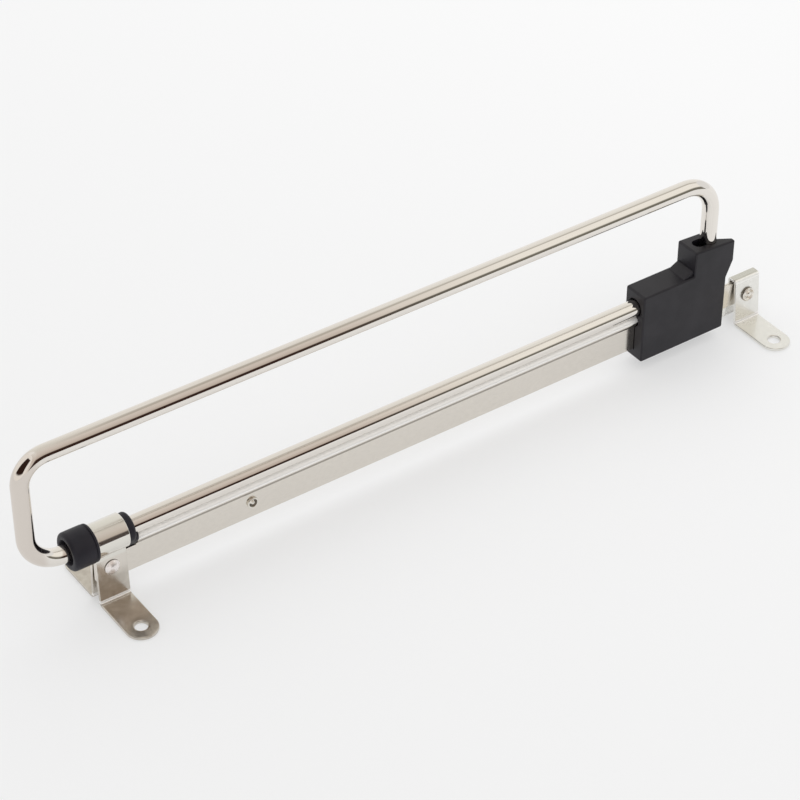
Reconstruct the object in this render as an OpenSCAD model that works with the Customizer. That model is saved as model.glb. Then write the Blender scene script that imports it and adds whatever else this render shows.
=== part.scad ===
// Pull-out clothes rail: a bent rod loop and its sliding block, carried by a folded
// guide rail that is screwed on through the feet of two strip brackets.
// +X is the side on view, -Y is the way the loop pulls out, +Z points away from the
// mounting plane. The origin is the middle of the four screw holes on that plane.

/* [Rod loop] */
// Diameter of the bent rod
rod_d = 6.5; // [5.5:0.25:7.5]
// Overall length of the loop
loop_len = 300; // [280:5:420]
// Height between the two runs, centre to centre
loop_h = 45.2; // [40:0.1:70]
// Centre-line radius of the upper front bend
top_bend_r = 10; // [7:0.5:14]
// Centre-line radius of the lower front bend
low_bend_r = 13.5; // [9:0.5:14.5]
// Centre-line radius of the rear bend
rear_bend_r = 14; // [8:0.5:16]
// Chamfer on the two cut ends of the rod
rod_end_chamfer = 0.6; // [0.2:0.1:1]
// Room between the loop's front upright and the bush, as stored
front_room = 11; // [10.5:0.5:30]
// Room between the block and the rear bracket, as stored
rear_room = 8.35; // [5:0.05:30]

/* [Guide rail] */
// Thickness of the folded sheet
sheet_t = 0.8; // [0.6:0.1:1]
// Seam between the two leaves of the fold
seam_w = 0.1; // [0.05:0.05:0.3]
// Height of the flat part of the rail
plate_h = 10.6; // [9:0.2:14]
// Height of the rail's lower edge above the mounting plane
rail_lift = 8.5; // [7:0.1:14]
// Outer diameter of the rolled bead
bead_d = 4.3; // [3.6:0.1:5]
// Running gap between the bead and the rod above it
bead_gap = 0.6; // [0.3:0.1:1]
// Corner radius of the rail's four tongue corners
tongue_r = 1.5; // [0.5:0.25:2.5]

/* [Brackets] */
// Thickness of the bracket strip
strip_t = 1.2; // [1:0.1:1.6]
// Width of the bracket strip
strip_w = 12; // [10:0.5:16]
// Distance between the two screws of one bracket
screw_pitch_x = 40; // [36:1:60]
// Diameter of the screw holes
screw_hole_d = 4.8; // [4:0.2:5.6]
// Depth of the countersink round each screw hole
screw_sink = 0.5; // [0.1:0.1:0.7]
// How far each foot reaches beyond its screw
foot_tip = 6.4; // [6:0.1:9]
// Inside radius of the bends at the feet
foot_bend_r = 0.8; // [0.5:0.1:1.5]
// Radius of the neck under the front collar
neck_r = 1.5; // [1:0.25:2.5]
// Angle by which each front leg leans out
front_splay = 3; // [0:0.5:5]
// Angle by which each rear leg leans out
rear_splay = 5; // [0:0.5:7]
// Outer width of the rear saddle at its top
saddle_w = 4.6; // [4.4:0.1:6]
// Outside radius of the saddle's folds
saddle_fold_r = 1.4; // [1.2:0.1:2]
// Height of the saddle over the rail's rear tongue
saddle_gap = 0.7; // [0.3:0.1:1.5]

/* [Front bush] */
// Running clearance of the rod in the bush, on the radius
bush_clear = 0.08; // [0.02:0.02:0.1]
// Wall of the bush inside the collar
bush_wall = 1.6; // [1.2:0.1:2.5]
// Diameter of the bush's head
head_d = 14.2; // [13.4:0.2:18]
// Length of the bush's head
head_len = 9.6; // [8:0.1:14]
// Rounding of the head's edges
head_round = 1.3; // [0.5:0.1:2]
// Depth of the flared recess in the head's face
mouth_depth = 2.4; // [1:0.2:4]
// Radius added by the flare at the mouth
mouth_flare = 1.3; // [0.8:0.1:2.2]
// Thickness of the rear flange
flange_t = 3; // [2:0.1:4]
// How far the flange stands out from the sleeve
flange_lip = 0.6; // [0.3:0.1:1]
// Radius of the lobe under the flange, ahead of the bead
lobe_r = 3.6; // [3:0.1:4.5]
// How far the lobe stands further back than the flange
lobe_step = 1.4; // [0.5:0.1:3]

/* [Slider block] */
// Width of the block
block_w = 11; // [10.5:0.5:16]
// Length of the block's body
block_len = 40.4; // [36:0.2:50]
// Wall under the rail's lower edge
block_floor = 3.4; // [1.5:0.1:4]
// Wall over the rod
block_roof = 3.8; // [2.5:0.1:6]
// Wall behind the rod
block_back = 2.8; // [2:0.1:4]
// Length of the tower along the rail
tower_len = 19.2; // [16:0.1:22]
// Height of the tower above the body
tower_h = 10.8; // [8:0.2:16]
// How much the tower's top falls towards the rear
tower_fall = 1.2; // [0:0.1:2]
// How far the tower hangs out beyond the body's rear
tower_hang = 3; // [1:0.1:4]
// Chamfer on the block's outer edges
block_chamfer = 0.7; // [0.3:0.1:1.3]
// Running clearance of the block on the rail, each side
slide_clear = 0.25; // [0.15:0.05:0.4]
// Clearance of the rod's ends in their sockets, on the radius
socket_clear = 0.1; // [0.05:0.05:0.2]
// Length of the gusset at the tower's foot
gusset_len = 4.6; // [2:0.2:8]
// Height of the gusset at the tower's foot
gusset_h = 2.3; // [1:0.1:5]

/* [Rivets] */
// Diameter of the rivet shanks
rivet_d = 3.2; // [2.5:0.1:4]
// Diameter of the domed heads on the brackets
dome_d = 5.4; // [4.4:0.2:7]
// Height of the domed heads
dome_h = 1.3; // [0.8:0.1:2]
// Diameter of the stop rivet's flat heads
stop_d = 4.4; // [4:0.2:6]
// Height of the stop rivet's flat heads
stop_h = 0.9; // [0.6:0.1:1.4]
// Distance of the stop rivet behind the front screws
stop_setback = 57.5; // [50:0.1:90]
// Height of the front rivet and the stop rivet above the rail's lower edge
rivet_rise = 6.5; // [5:0.1:7]
// Height of the rear rivet above the rail's lower edge
rear_rivet_rise = 4.3; // [4:0.1:7]

/* [Hidden] */
$fn = 64;
eps = 0.02;
fit_gap = 0.05;
touch_gap = 0.1;

rod_r = rod_d / 2;
bead_r = bead_d / 2;
plate_t = 2 * sheet_t + seam_w;
plate_top = rail_lift + plate_h;
bead_z = plate_top + bead_r;
rod_z = bead_z + bead_r + bead_gap + rod_r;
top_z = rod_z + loop_h;

// The front screws lie under the collar, and the rear ones under the saddle. The loop
// and its block, as stored, settle how far apart the two brackets stand.
loop_reach = strip_w / 2 + fit_gap + head_len + front_room + rod_d;
screw_pitch_y = loop_len - loop_reach + block_back + rear_room + strip_w / 2;
front_y = -screw_pitch_y / 2;
rear_y = screw_pitch_y / 2;
loop_front = front_y - loop_reach;
loop_rear = loop_front + loop_len;
front_rod_y = loop_front + rod_r;
rear_rod_y = loop_rear - rod_r;

// The rail's tongues stop a little short of the brackets' outer edges. The bead ends
// just behind the bush's lobe at the front and inside the stored block at the rear.
tongue_inset = 0.5;
bead_end_gap = 0.2;
bead_inset = 1;
tongue_drop = 0.4;
rail_front = front_y - strip_w / 2 + tongue_inset;
rail_rear = rear_y + strip_w / 2 - tongue_inset;
bead_front = front_y + strip_w / 2 + fit_gap + flange_t + lobe_step + bead_end_gap;
bead_rear = loop_rear + block_back - bead_inset;
tongue_top = plate_top - tongue_drop;
rivet_z = rail_lift + rivet_rise;
rear_rivet_z = rail_lift + rear_rivet_rise;
stop_y = front_y + stop_setback;

sleeve_r = rod_r + bush_clear + bush_wall;
collar_ri = sleeve_r + fit_gap;
collar_rc = collar_ri + strip_t / 2;
leg_x = plate_t / 2 + fit_gap + strip_t / 2;
neck_rc = neck_r + strip_t / 2;
foot_rc = foot_bend_r + strip_t / 2;
foot_end = screw_pitch_x / 2 + foot_tip;
saddle_z = tongue_top + saddle_gap + strip_t;

slot_w = plate_t + 2 * slide_clear;
channel_r = bead_r + slide_clear;
socket_r = rod_r + socket_clear;
slot_bottom = rail_lift - 2 * slide_clear;
block_bottom = slot_bottom - block_floor;
block_top = rod_z + socket_r + block_roof;
block_rear = loop_rear + block_back;
block_front = block_rear - block_len;
tower_rear = block_rear + tower_hang;
tower_front = tower_rear - tower_len;
tower_top = block_top + tower_h;

// The lower socket stops short of the loop's rear, and a web parts it from the upright's
web = 2.2;
socket_short = 0.3;
rod_end_gap = 0.2;
socket_end = loop_rear - socket_short;
rod_end = socket_end - rod_end_gap;
post_end = rod_z + socket_r + web;

// Travel of the loop from its stored place: out until the block meets the stop rivet,
// and in until the lower bend meets the bush's bore.
pull_out = block_front - (stop_y + stop_d / 2) - touch_gap;
bore_front = front_y - strip_w / 2 - fit_gap - head_len + mouth_depth;
push_in = bore_front - (front_rod_y + low_bend_r) + sqrt(bush_clear * low_bend_r);
echo(pull_out = pull_out, push_in = push_in, screw_pitch_y = screw_pitch_y);
echo(block_front = block_front, block_rear = block_rear, rod_z = rod_z, top_z = top_z);

function reversed(list) = [for (i = [len(list) - 1:-1:0]) list[i]];
function mirrored(list) = [for (p = list) [-p[0], p[1]]];
function arc(centre, r, from, to, steps) =
    [for (i = [0:steps]) let (a = from + (to - from) * i / steps) centre + r * [cos(a), sin(a)]];

// A cylinder from one Y to another, on an axis at x and z
module bar_y(x, z, r, from, to) {
    translate([x, from, z]) rotate([-90, 0, 0]) cylinder(r = r, h = to - from);
}

// A cylinder from one X to another, on an axis at y and z
module bar_x(y, z, r, from, to) {
    translate([from, y, z]) rotate([0, 90, 0]) cylinder(r = r, h = to - from);
}

// A profile drawn in X and Z, carried along Y
module along_y(from, to) {
    translate([0, to, 0]) rotate([90, 0, 0]) linear_extrude(to - from) children();
}

// A profile drawn in Y and Z, carried along X
module along_x(from, to) {
    translate([from, 0, 0]) rotate([90, 0, 90]) linear_extrude(to - from) children();
}

// A quarter bend of the rod, in the plane of the loop
module rod_bend(centre, bend_r, turn) {
    translate([0, centre[0], centre[1]]) rotate([turn, 0, 0]) rotate([90, 0, 90])
        rotate_extrude(angle = 90) translate([bend_r, 0]) circle(r = rod_r);
}

// The loop is one rod: its lower run passes through the bush, and both of its cut
// ends sit in sockets of the block.
module hanging_rod() {
    color([0.83, 0.81, 0.77]) {
        bar_y(0, rod_z, rod_r, front_rod_y + low_bend_r, rod_end - rod_end_chamfer);
        translate([0, rod_end - rod_end_chamfer, rod_z]) rotate([-90, 0, 0])
            cylinder(r1 = rod_r, r2 = rod_r - rod_end_chamfer, h = rod_end_chamfer);
        rod_bend([front_rod_y + low_bend_r, rod_z + low_bend_r], low_bend_r, 180);
        translate([0, front_rod_y, rod_z + low_bend_r])
            cylinder(r = rod_r, h = loop_h - low_bend_r - top_bend_r);
        rod_bend([front_rod_y + top_bend_r, top_z - top_bend_r], top_bend_r, 90);
        bar_y(0, top_z, rod_r, front_rod_y + top_bend_r, rear_rod_y - rear_bend_r);
        rod_bend([rear_rod_y - rear_bend_r, top_z - rear_bend_r], rear_bend_r, 0);
        translate([0, rear_rod_y, post_end + rod_end_chamfer])
            cylinder(r = rod_r, h = top_z - rear_bend_r - post_end - rod_end_chamfer);
        translate([0, rear_rod_y, post_end])
            cylinder(r1 = rod_r - rod_end_chamfer, r2 = rod_r, h = rod_end_chamfer);
    }
}

// The rail's section: a sheet rolled into a bead, with its two leaves shut flat
module rail_profile() {
    difference() {
        union() {
            translate([0, bead_z]) circle(r = bead_r);
            translate([-plate_t / 2, rail_lift]) square([plate_t, bead_z - rail_lift]);
        }
        translate([0, bead_z]) circle(r = bead_r - sheet_t);
        translate([-seam_w / 2, rail_lift - 1]) square([seam_w, bead_z - rail_lift + 1]);
    }
}

// The rail seen from its side: full height between the brackets, two low tongues in them
module rail_outline() {
    r = tongue_r;
    translate([bead_front, rail_lift - 1])
        square([bead_rear - bead_front, bead_z + bead_d - rail_lift + 1]);
    difference() {
        translate([rail_front, rail_lift]) square([rail_rear - rail_front, tongue_top - rail_lift]);
        for (end = [[rail_front, 1], [rail_rear, -1]], side = [[rail_lift, 1], [tongue_top, -1]])
            difference() {
                translate([end[0] + end[1] * r / 2, side[0] + side[1] * r / 2])
                    square([r + eps, r + eps], center = true);
                translate([end[0] + end[1] * r, side[0] + side[1] * r]) circle(r = r);
            }
    }
}

module guide_rail() {
    color([0.80, 0.78, 0.73]) difference() {
        intersection() {
            along_y(rail_front, rail_rear) rail_profile();
            along_x(-bead_d, bead_d) rail_outline();
        }
        for (hole = [[front_y, rivet_z], [stop_y, rivet_z], [rear_y, rear_rivet_z]])
            bar_x(hole[0], hole[1], rivet_d / 2, -bead_d, bead_d);
    }
}

// Where a leg's outer face lies at a height, for a leg that starts at a point and leans
function leg_face(start, lean, z) =
    let (face = start + strip_t / 2 * leg_side(lean))
    [face[0] + (face[1] - z) * tan(lean), z];

// Where a leg that leans out by an angle meets the bend of its foot
function leg_dir(lean) = [sin(lean), -cos(lean)];
function leg_side(lean) = [cos(lean), sin(lean)];
function foot_centre(start, lean) =
    let (run = (start[1] + foot_rc * sin(lean) - strip_t - foot_bend_r) / cos(lean))
    start + run * leg_dir(lean) + foot_rc * leg_side(lean);

// The middle of the neck's bend under the collar, and the front leg that starts at it
neck_x = leg_x + neck_rc * cos(front_splay);
neck = [neck_x, rod_z - sqrt(pow(collar_rc + neck_rc, 2) - neck_x * neck_x)];
front_leg = neck - neck_rc * leg_side(front_splay);

// The middle of the saddle's fold, and the rear leg that starts at it
saddle_fold = [saddle_w / 2 - saddle_fold_r, saddle_z - saddle_fold_r];
fold_rc = saddle_fold_r - strip_t / 2;
rear_leg = saddle_fold + fold_rc * leg_side(rear_splay);

// One side of the strip from the middle of the collar to the tip of a foot, drawn at
// a distance off its middle surface
function collar_side(off) =
    let (low = atan2(rod_z - neck[1], neck[0]), foot = foot_centre(front_leg, front_splay))
    concat(arc([0, rod_z], collar_rc + off, 90, -low, 36),
           arc(neck, neck_rc - off, 180 - low, 180 + front_splay, 12),
           arc(foot, foot_rc - off, 180 + front_splay, 270, 12),
           [[foot_end, strip_t / 2 + off]]);

function saddle_side(off) =
    let (foot = foot_centre(rear_leg, rear_splay))
    concat([[0, saddle_z - strip_t / 2 + off]],
           arc(saddle_fold, max(fold_rc + off, eps), 90, rear_splay, 12),
           arc(foot, foot_rc - off, 180 + rear_splay, 270, 12),
           [[foot_end, strip_t / 2 + off]]);

// The whole strip from both sides of one half
module strip_profile(outer, inner) {
    polygon(concat(reversed(mirrored(outer)), outer, reversed(inner), mirrored(inner)));
}

// A bracket's outline seen from above: straight edges and two full-round feet
module foot_plan(y) {
    tip = foot_end - strip_w / 2;
    translate([-tip, y - strip_w / 2]) square([2 * tip, strip_w]);
    for (side = [-1, 1]) translate([side * tip, y]) circle(r = strip_w / 2);
}

module bracket(y, hole_z) {
    difference() {
        intersection() {
            along_y(y - strip_w / 2, y + strip_w / 2) children();
            linear_extrude(rod_z + collar_ri + 2 * strip_t) foot_plan(y);
        }
        for (side = [-1, 1]) translate([side * screw_pitch_x / 2, y, 0]) {
            translate([0, 0, -1]) cylinder(r = screw_hole_d / 2, h = strip_t + 2);
            translate([0, 0, strip_t - screw_sink])
                cylinder(r1 = screw_hole_d / 2, r2 = screw_hole_d / 2 + 2 * screw_sink, h = 2 * screw_sink);
        }
        bar_x(y, hole_z, rivet_d / 2, -2 * saddle_w, 2 * saddle_w);
    }
}

module front_bracket() {
    color([0.80, 0.78, 0.73]) bracket(front_y, rivet_z)
        strip_profile(collar_side(strip_t / 2), collar_side(-strip_t / 2));
}

module rear_bracket() {
    color([0.80, 0.78, 0.73]) bracket(rear_y, rear_rivet_z)
        strip_profile(saddle_side(strip_t / 2), saddle_side(-strip_t / 2));
}

// The bush: a thick head ahead of the collar, a sleeve in it, and a flange behind it
// with a lobe that stands before the front end of the bead
module front_bush() {
    collar_front = front_y - strip_w / 2 - fit_gap;
    collar_back = front_y + strip_w / 2 + fit_gap;
    head_front = collar_front - head_len;
    r = head_d / 2;
    bore = rod_r + bush_clear;
    q = head_round;
    flange_r = sleeve_r + flange_lip;
    lobe_z = (bead_z + rod_z) / 2;
    lobe_len = flange_t + lobe_step;
    color([0.16, 0.16, 0.18]) difference() {
        union() {
            translate([0, head_front, rod_z]) rotate([-90, 0, 0]) rotate_extrude()
                polygon(concat([[0, 0]], arc([r - q, q], q, -90, 0, 12),
                               arc([r - q / 2, head_len - q / 2], q / 2, 0, 90, 8),
                               [[0, head_len]]));
            bar_y(0, rod_z, sleeve_r, collar_front - eps, collar_back + eps);
            translate([0, collar_back, rod_z]) rotate([-90, 0, 0]) rotate_extrude()
                polygon(concat([[0, 0], [flange_r, 0]],
                               arc([flange_r - q, flange_t - q], q, 0, 90, 12), [[0, flange_t]]));
            translate([0, collar_back, lobe_z]) rotate([-90, 0, 0]) rotate_extrude()
                polygon(concat([[0, 0], [lobe_r, 0]],
                               arc([lobe_r - q, lobe_len - q], q, 0, 90, 12), [[0, lobe_len]]));
        }
        bar_y(0, rod_z, bore, head_front - 1, collar_back + lobe_len + 1);
        translate([0, head_front, rod_z]) rotate([-90, 0, 0])
            cylinder(r1 = bore + mouth_flare, r2 = bore + mouth_flare / 2, h = mouth_depth);
    }
}

// A box with one chamfer on all twelve edges, given by its two corners
module chamfered_box(low, high, c) {
    intersection() {
        along_y(low[1], high[1]) chamfered_rect([low[0], low[2]], [high[0], high[2]], c);
        along_x(low[0], high[0]) chamfered_rect([low[1], low[2]], [high[1], high[2]], c);
        translate([0, 0, low[2]]) linear_extrude(high[2] - low[2])
            chamfered_rect([low[0], low[1]], [high[0], high[1]], c);
    }
}

module chamfered_rect(low, high, c) {
    polygon([[low[0] + c, low[1]], [high[0] - c, low[1]], [high[0], low[1] + c],
             [high[0], high[1] - c], [high[0] - c, high[1]], [low[0] + c, high[1]],
             [low[0], high[1] - c], [low[0], low[1] + c]]);
}

// The tower's side outline: a raised post that hangs out over the body's rear
module tower_outline() {
    c = block_chamfer;
    hang_z = block_top + 0.5;
    hang_slope = 2.3;
    polygon([[tower_front, rod_z], [tower_front, tower_top - c], [tower_front + c, tower_top],
             [tower_rear - c, tower_top - tower_fall], [tower_rear, tower_top - tower_fall - c],
             [tower_rear, hang_z], [block_rear, hang_z - hang_slope * tower_hang],
             [block_rear, rod_z]]);
}

// The tower's plan: chamfered in front, and cut back at the far rear behind the rod
module tower_plan() {
    w = block_w / 2;
    c = block_chamfer;
    cut = loop_rear + touch_gap;
    cut_x = 1.2;
    fin_t = 1.4;
    polygon([[-w + c, tower_front], [w - c, tower_front], [w, tower_front + c],
             [w, tower_rear - c / 2], [w - c / 2, tower_rear], [w - fin_t, tower_rear],
             [cut_x, cut], [-w + c, cut], [-w, cut - c], [-w, tower_front + c]]);
}

module gusset_outline() {
    polygon([[tower_front - gusset_len, block_top - 1], [tower_front - gusset_len, block_top],
             [tower_front - 0.3, block_top + gusset_h], [tower_front + 1, block_top + gusset_h],
             [tower_front + 1, block_top - 1]]);
}

// The block: a body that slides on the rail, and a tower that holds the rod's upright
module slider_block() {
    w = block_w / 2;
    c = block_chamfer;
    slot_r = 2.4;
    slot_front = rear_rod_y - 2 * slot_r;
    color([0.20, 0.20, 0.21]) difference() {
        union() {
            chamfered_box([-w, block_front, block_bottom], [w, block_rear, block_top], c);
            intersection() {
                along_x(-w, w) tower_outline();
                linear_extrude(tower_top) tower_plan();
                along_y(tower_front, tower_rear)
                    chamfered_rect([-w, 0], [w, tower_top], c);
            }
            along_x(-w + c, w - c) gusset_outline();
        }
        bar_y(0, rod_z, socket_r, block_front - 1, socket_end);
        translate([0, block_front, rod_z]) rotate([-90, 0, 0])
            cylinder(r1 = socket_r + c / 2, r2 = socket_r, h = c / 2);
        bar_y(0, bead_z, channel_r, block_front - 1, block_rear + 1);
        translate([-slot_w / 2, block_front - 1, slot_bottom])
            cube([slot_w, block_len + 2, rod_z - slot_bottom]);
        translate([0, rear_rod_y, post_end]) cylinder(r = socket_r, h = tower_h + 20);
        translate([0, slot_front, block_top + gusset_h]) cylinder(r = slot_r, h = tower_h);
        translate([-slot_r, slot_front, block_top + gusset_h])
            cube([2 * slot_r, rear_rod_y - slot_front, tower_h]);
    }
}

// A shank along X through both legs, with a domed head seated on each leaning face
module domed_rivet(y, z, start, lean) {
    ball = (dome_d * dome_d / 4 + dome_h * dome_h) / (2 * dome_h);
    seat = leg_face(start, lean, z) + touch_gap / 5 * leg_side(lean);
    reach = seat[0] + dome_h / 3;
    color([0.86, 0.84, 0.80]) {
        bar_x(y, z, rivet_d / 2 - fit_gap, -reach, reach);
        for (side = [0, 1]) mirror([side, 0, 0]) translate([seat[0], y, seat[1]])
            rotate([0, 90 - lean, 0]) rotate_extrude() intersection() {
                translate([0, dome_h - ball]) circle(r = ball);
                square([dome_d, dome_h + 1]);
            }
    }
}

module front_rivet() {
    domed_rivet(front_y, rivet_z, front_leg, front_splay);
}

module rear_rivet() {
    domed_rivet(rear_y, rear_rivet_z, rear_leg, rear_splay);
}

// The stop rivet closes the rail's leaves; its heads stand proud and stop the block
module stop_rivet() {
    x = plate_t / 2;
    rim = 0.3;
    dimple_r = 0.8;
    color([0.86, 0.84, 0.80]) difference() {
        union() {
            bar_x(stop_y, rivet_z, rivet_d / 2 - fit_gap, -x - eps, x + eps);
            for (side = [0, 180]) translate([0, stop_y, rivet_z]) rotate([0, 90, side])
                rotate_extrude() polygon([[0, x], [stop_d / 2, x], [stop_d / 2, x + stop_h - rim],
                                          [stop_d / 2 - rim, x + stop_h], [0, x + stop_h]]);
        }
        for (side = [0, 180]) translate([0, stop_y, rivet_z]) rotate([0, 90, side])
            translate([0, 0, x + stop_h / 2]) cylinder(r1 = dimple_r, r2 = 1.5 * dimple_r, h = stop_h);
    }
}

hanging_rod();
slider_block();
guide_rail();
front_bracket();
rear_bracket();
front_bush();
front_rivet();
rear_rivet();
stop_rivet();
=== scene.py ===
import bmesh
import bpy
import numpy as np
from mathutils import Matrix, Vector


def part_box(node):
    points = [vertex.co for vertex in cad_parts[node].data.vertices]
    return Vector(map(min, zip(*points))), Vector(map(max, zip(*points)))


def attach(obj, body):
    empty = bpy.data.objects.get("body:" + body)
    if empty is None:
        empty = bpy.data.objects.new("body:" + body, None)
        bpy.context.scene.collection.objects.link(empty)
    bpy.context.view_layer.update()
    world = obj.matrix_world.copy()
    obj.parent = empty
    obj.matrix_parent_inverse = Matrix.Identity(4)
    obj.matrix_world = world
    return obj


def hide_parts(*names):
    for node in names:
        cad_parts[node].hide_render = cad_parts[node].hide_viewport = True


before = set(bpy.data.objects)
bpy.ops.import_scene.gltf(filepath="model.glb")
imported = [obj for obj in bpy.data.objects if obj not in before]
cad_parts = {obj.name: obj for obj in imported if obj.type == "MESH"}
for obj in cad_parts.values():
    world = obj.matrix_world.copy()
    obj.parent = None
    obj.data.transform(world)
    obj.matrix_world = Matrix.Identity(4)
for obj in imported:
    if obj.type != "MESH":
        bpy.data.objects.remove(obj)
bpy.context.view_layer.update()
mm = 0.001

# The camera stands in front of the near side and above it, with a long lens, so that the
# rail runs from the lower left to the upper right and its long edges stay nearly parallel.
camera_data = bpy.data.cameras.new("camera")
camera_data.lens = 122.317
camera_data.sensor_width = 36.0
camera_data.clip_start = 0.05
camera = bpy.data.objects.new("camera", camera_data)
bpy.context.scene.collection.objects.link(camera)
camera_right = Vector((0.5735, 0.8192, 0.0))
camera_back = Vector((0.6463, -0.4525, 0.6145))
camera_turn = Matrix((camera_right, camera_back.cross(camera_right), camera_back)).transposed()
camera.matrix_world = Matrix.Translation((0.6287, -0.4608, 0.6290)) @ camera_turn.to_4x4()
bpy.context.scene.camera = camera
bpy.context.scene.view_settings.view_transform = "Standard"


# The pale table that the rail stands on, and the room that only its bright plating shows:
# dark low down on the near side, beige above that, pale overhead and a dark doorway ahead.
def quads(rows, columns, closed=False):
    """Corner numbers of the faces of a grid of points: each face joins a point to its
    neighbours one column on, one row on, and both; a closed grid's last column joins up
    with its first."""
    row = np.arange(rows - 1)
    column = np.arange(columns if closed else columns - 1)
    row, column = (a.ravel() for a in np.meshgrid(row, column, indexing="ij"))
    column_on = (column + 1) % columns
    corners = [row * columns + column, row * columns + column_on,
               (row + 1) * columns + column_on, (row + 1) * columns + column]
    return np.stack(corners, -1)


def new_object(name, points, faces):
    """An object with one mesh, from an array of points and lists of corner numbers."""
    mesh = bpy.data.meshes.new(name)
    mesh.from_pydata(np.asarray(points).reshape(-1, 3), [], [list(face) for face in faces])
    obj = bpy.data.objects.new(name, mesh)
    bpy.context.scene.collection.objects.link(obj)
    return obj


def uv_map(obj, grid, faces):
    """Lay a grid of (u, v) pairs, one for each point, on the corners of the faces."""
    layer = obj.data.uv_layers.new(name="along")
    flat = np.asarray(grid).reshape(-1, 2)[np.asarray(faces).ravel()]
    layer.data.foreach_set("uv", flat.ravel())


def tree_of(name):
    """A new material, its node tree and the shader that feeds its output."""
    material = bpy.data.materials.new(name)
    material.use_nodes = True
    return material, material.node_tree, material.node_tree.nodes["Principled BSDF"]


def feed(tree, node, inputs):
    """Fill a node's inputs: another node's output is linked, a plain value is set."""
    for name, value in inputs.items():
        if isinstance(value, bpy.types.NodeSocket):
            tree.links.new(value, node.inputs[name])
        else:
            node.inputs[name].default_value = value


def wired(tree, kind, inputs, **settings):
    """A new node of one kind: first its settings, then its inputs."""
    node = tree.nodes.new("ShaderNode" + kind)
    for name, value in settings.items():
        setattr(node, name, value)
    feed(tree, node, inputs)
    return node


def between(tree, place, axis, low, high, soft, ease="SMOOTHSTEP"):
    """How far a point lies between two places on an axis: 1 - (|x - middle| - half) / soft,
    kept between 0 and 1."""
    split = wired(tree, "SeparateXYZ", {0: place})
    off = wired(tree, "Math", {0: split.outputs[axis], 1: (low + high) / 2}, operation="SUBTRACT")
    size = wired(tree, "Math", {0: off.outputs[0]}, operation="ABSOLUTE")
    half = (high - low) / 2
    share = wired(tree, "MapRange", {"Value": size.outputs[0], "From Min": half + soft, "From Max": half},
                  interpolation_type=ease)
    return share.outputs[0]


floor_half = 3.0
floor_edge = 0.35
floor_drop = 0.05 * mm
floor_steps = 13
floor_x, floor_y = np.meshgrid(np.linspace(-floor_half, floor_edge, floor_steps),
                               np.linspace(-floor_half, floor_half, floor_steps), indexing="ij")
floor_points = np.stack([floor_x, floor_y, np.full_like(floor_x, -floor_drop)], -1)
floor = new_object("floor", floor_points, quads(floor_steps, floor_steps)[:, ::-1])
floor_material, tree, shader = tree_of("pale_table")
feed(tree, shader, {"Roughness": 1.0, "Specular IOR Level": 0.0, "Base Color": (0.93, 0.93, 0.93, 1)})
ray = wired(tree, "LightPath", {})
seen = wired(tree, "Math", {0: ray.outputs["Is Camera Ray"], 1: ray.outputs["Is Glossy Ray"]},
             operation="MAXIMUM")
through = wired(tree, "Math", {0: seen.outputs[0], 1: ray.outputs["Is Transmission Ray"]},
                operation="MAXIMUM")
pale_share = 0.45
share = wired(tree, "Math", {0: through.outputs[0], 1: pale_share}, operation="MULTIPLY")
place = wired(tree, "TexCoord", {})
split = wired(tree, "SeparateXYZ", {0: place.outputs["Object"]})
# The backdrop's glow is painted brighter towards the far side: a painted pool of light on the table.
painted_falloff = wired(tree, "MapRange", {"Value": split.outputs[1], "From Min": -0.15, "From Max": 0.25,
                                   "To Min": 0.95, "To Max": 1.05})
backdrop = wired(tree, "Emission", {"Color": (0.95, 0.95, 0.95, 1), "Strength": painted_falloff.outputs[0]})
chosen = wired(tree, "MixShader", {0: share.outputs[0], 1: shader.outputs[0], 2: backdrop.outputs[0]})
tree.links.new(chosen.outputs[0], tree.nodes["Material Output"].inputs[0])
floor.data.materials.append(floor_material)

world = bpy.data.worlds.new("room")
bpy.context.scene.world = world
world.use_nodes = True
room = world.node_tree.nodes["Background"]
room.inputs["Color"].default_value = (1.0, 1.0, 1.0, 1)
room.inputs["Strength"].default_value = 0.86

shell_r = 3.0
shell_from, shell_to = -1.2, 5.0
shell_low, shell_high = -12, 180
shell_rows, shell_columns = 97, 15
height, along = np.meshgrid(np.linspace(shell_low, shell_high, shell_rows),
                            np.linspace(shell_from, shell_to, shell_columns), indexing="ij")
angle = np.radians(height)
shell_points = np.stack([shell_r * np.cos(angle), along, shell_r * np.sin(angle)], -1)
shell_faces = quads(shell_rows, shell_columns)
shell = new_object("room_shell", shell_points, shell_faces)
uv_map(shell, np.stack([(height - shell_low) / (shell_high - shell_low),
                        (along - shell_from) / (shell_to - shell_from)], -1), shell_faces)
shell_material, tree, shader = tree_of("room_bands")
tree.nodes.remove(shader)
coordinates = wired(tree, "UVMap", {})
split = wired(tree, "SeparateXYZ", {0: coordinates.outputs[0]})


def bands(stops):
    """A ramp over the height of the room, from (degrees above the near side, colour)."""
    ramp = wired(tree, "ValToRGB", {0: split.outputs[0]})
    elements = ramp.color_ramp.elements
    share = [(degrees - shell_low) / (shell_high - shell_low) for degrees, _ in stops]
    elements[0].position, elements[0].color = share[0], (*stops[0][1], 1)
    elements[1].position, elements[1].color = share[-1], (*stops[-1][1], 1)
    for position, (_, colour) in zip(share[1:-1], stops[1:-1]):
        elements.new(position).color = (*colour, 1)
    return ramp.outputs[0]


def blend(first, second, start, stop):
    """Fade from one ramp to another between two places along the room, in metres."""
    fade = wired(tree, "MapRange", {"Value": split.outputs[1],
                                    "From Min": (start - shell_from) / (shell_to - shell_from),
                                    "From Max": (stop - shell_from) / (shell_to - shell_from)},
                 interpolation_type="SMOOTHSTEP")
    return wired(tree, "Mix", {0: fade.outputs[0], 6: first, 7: second}, data_type="RGBA").outputs[2]


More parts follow.
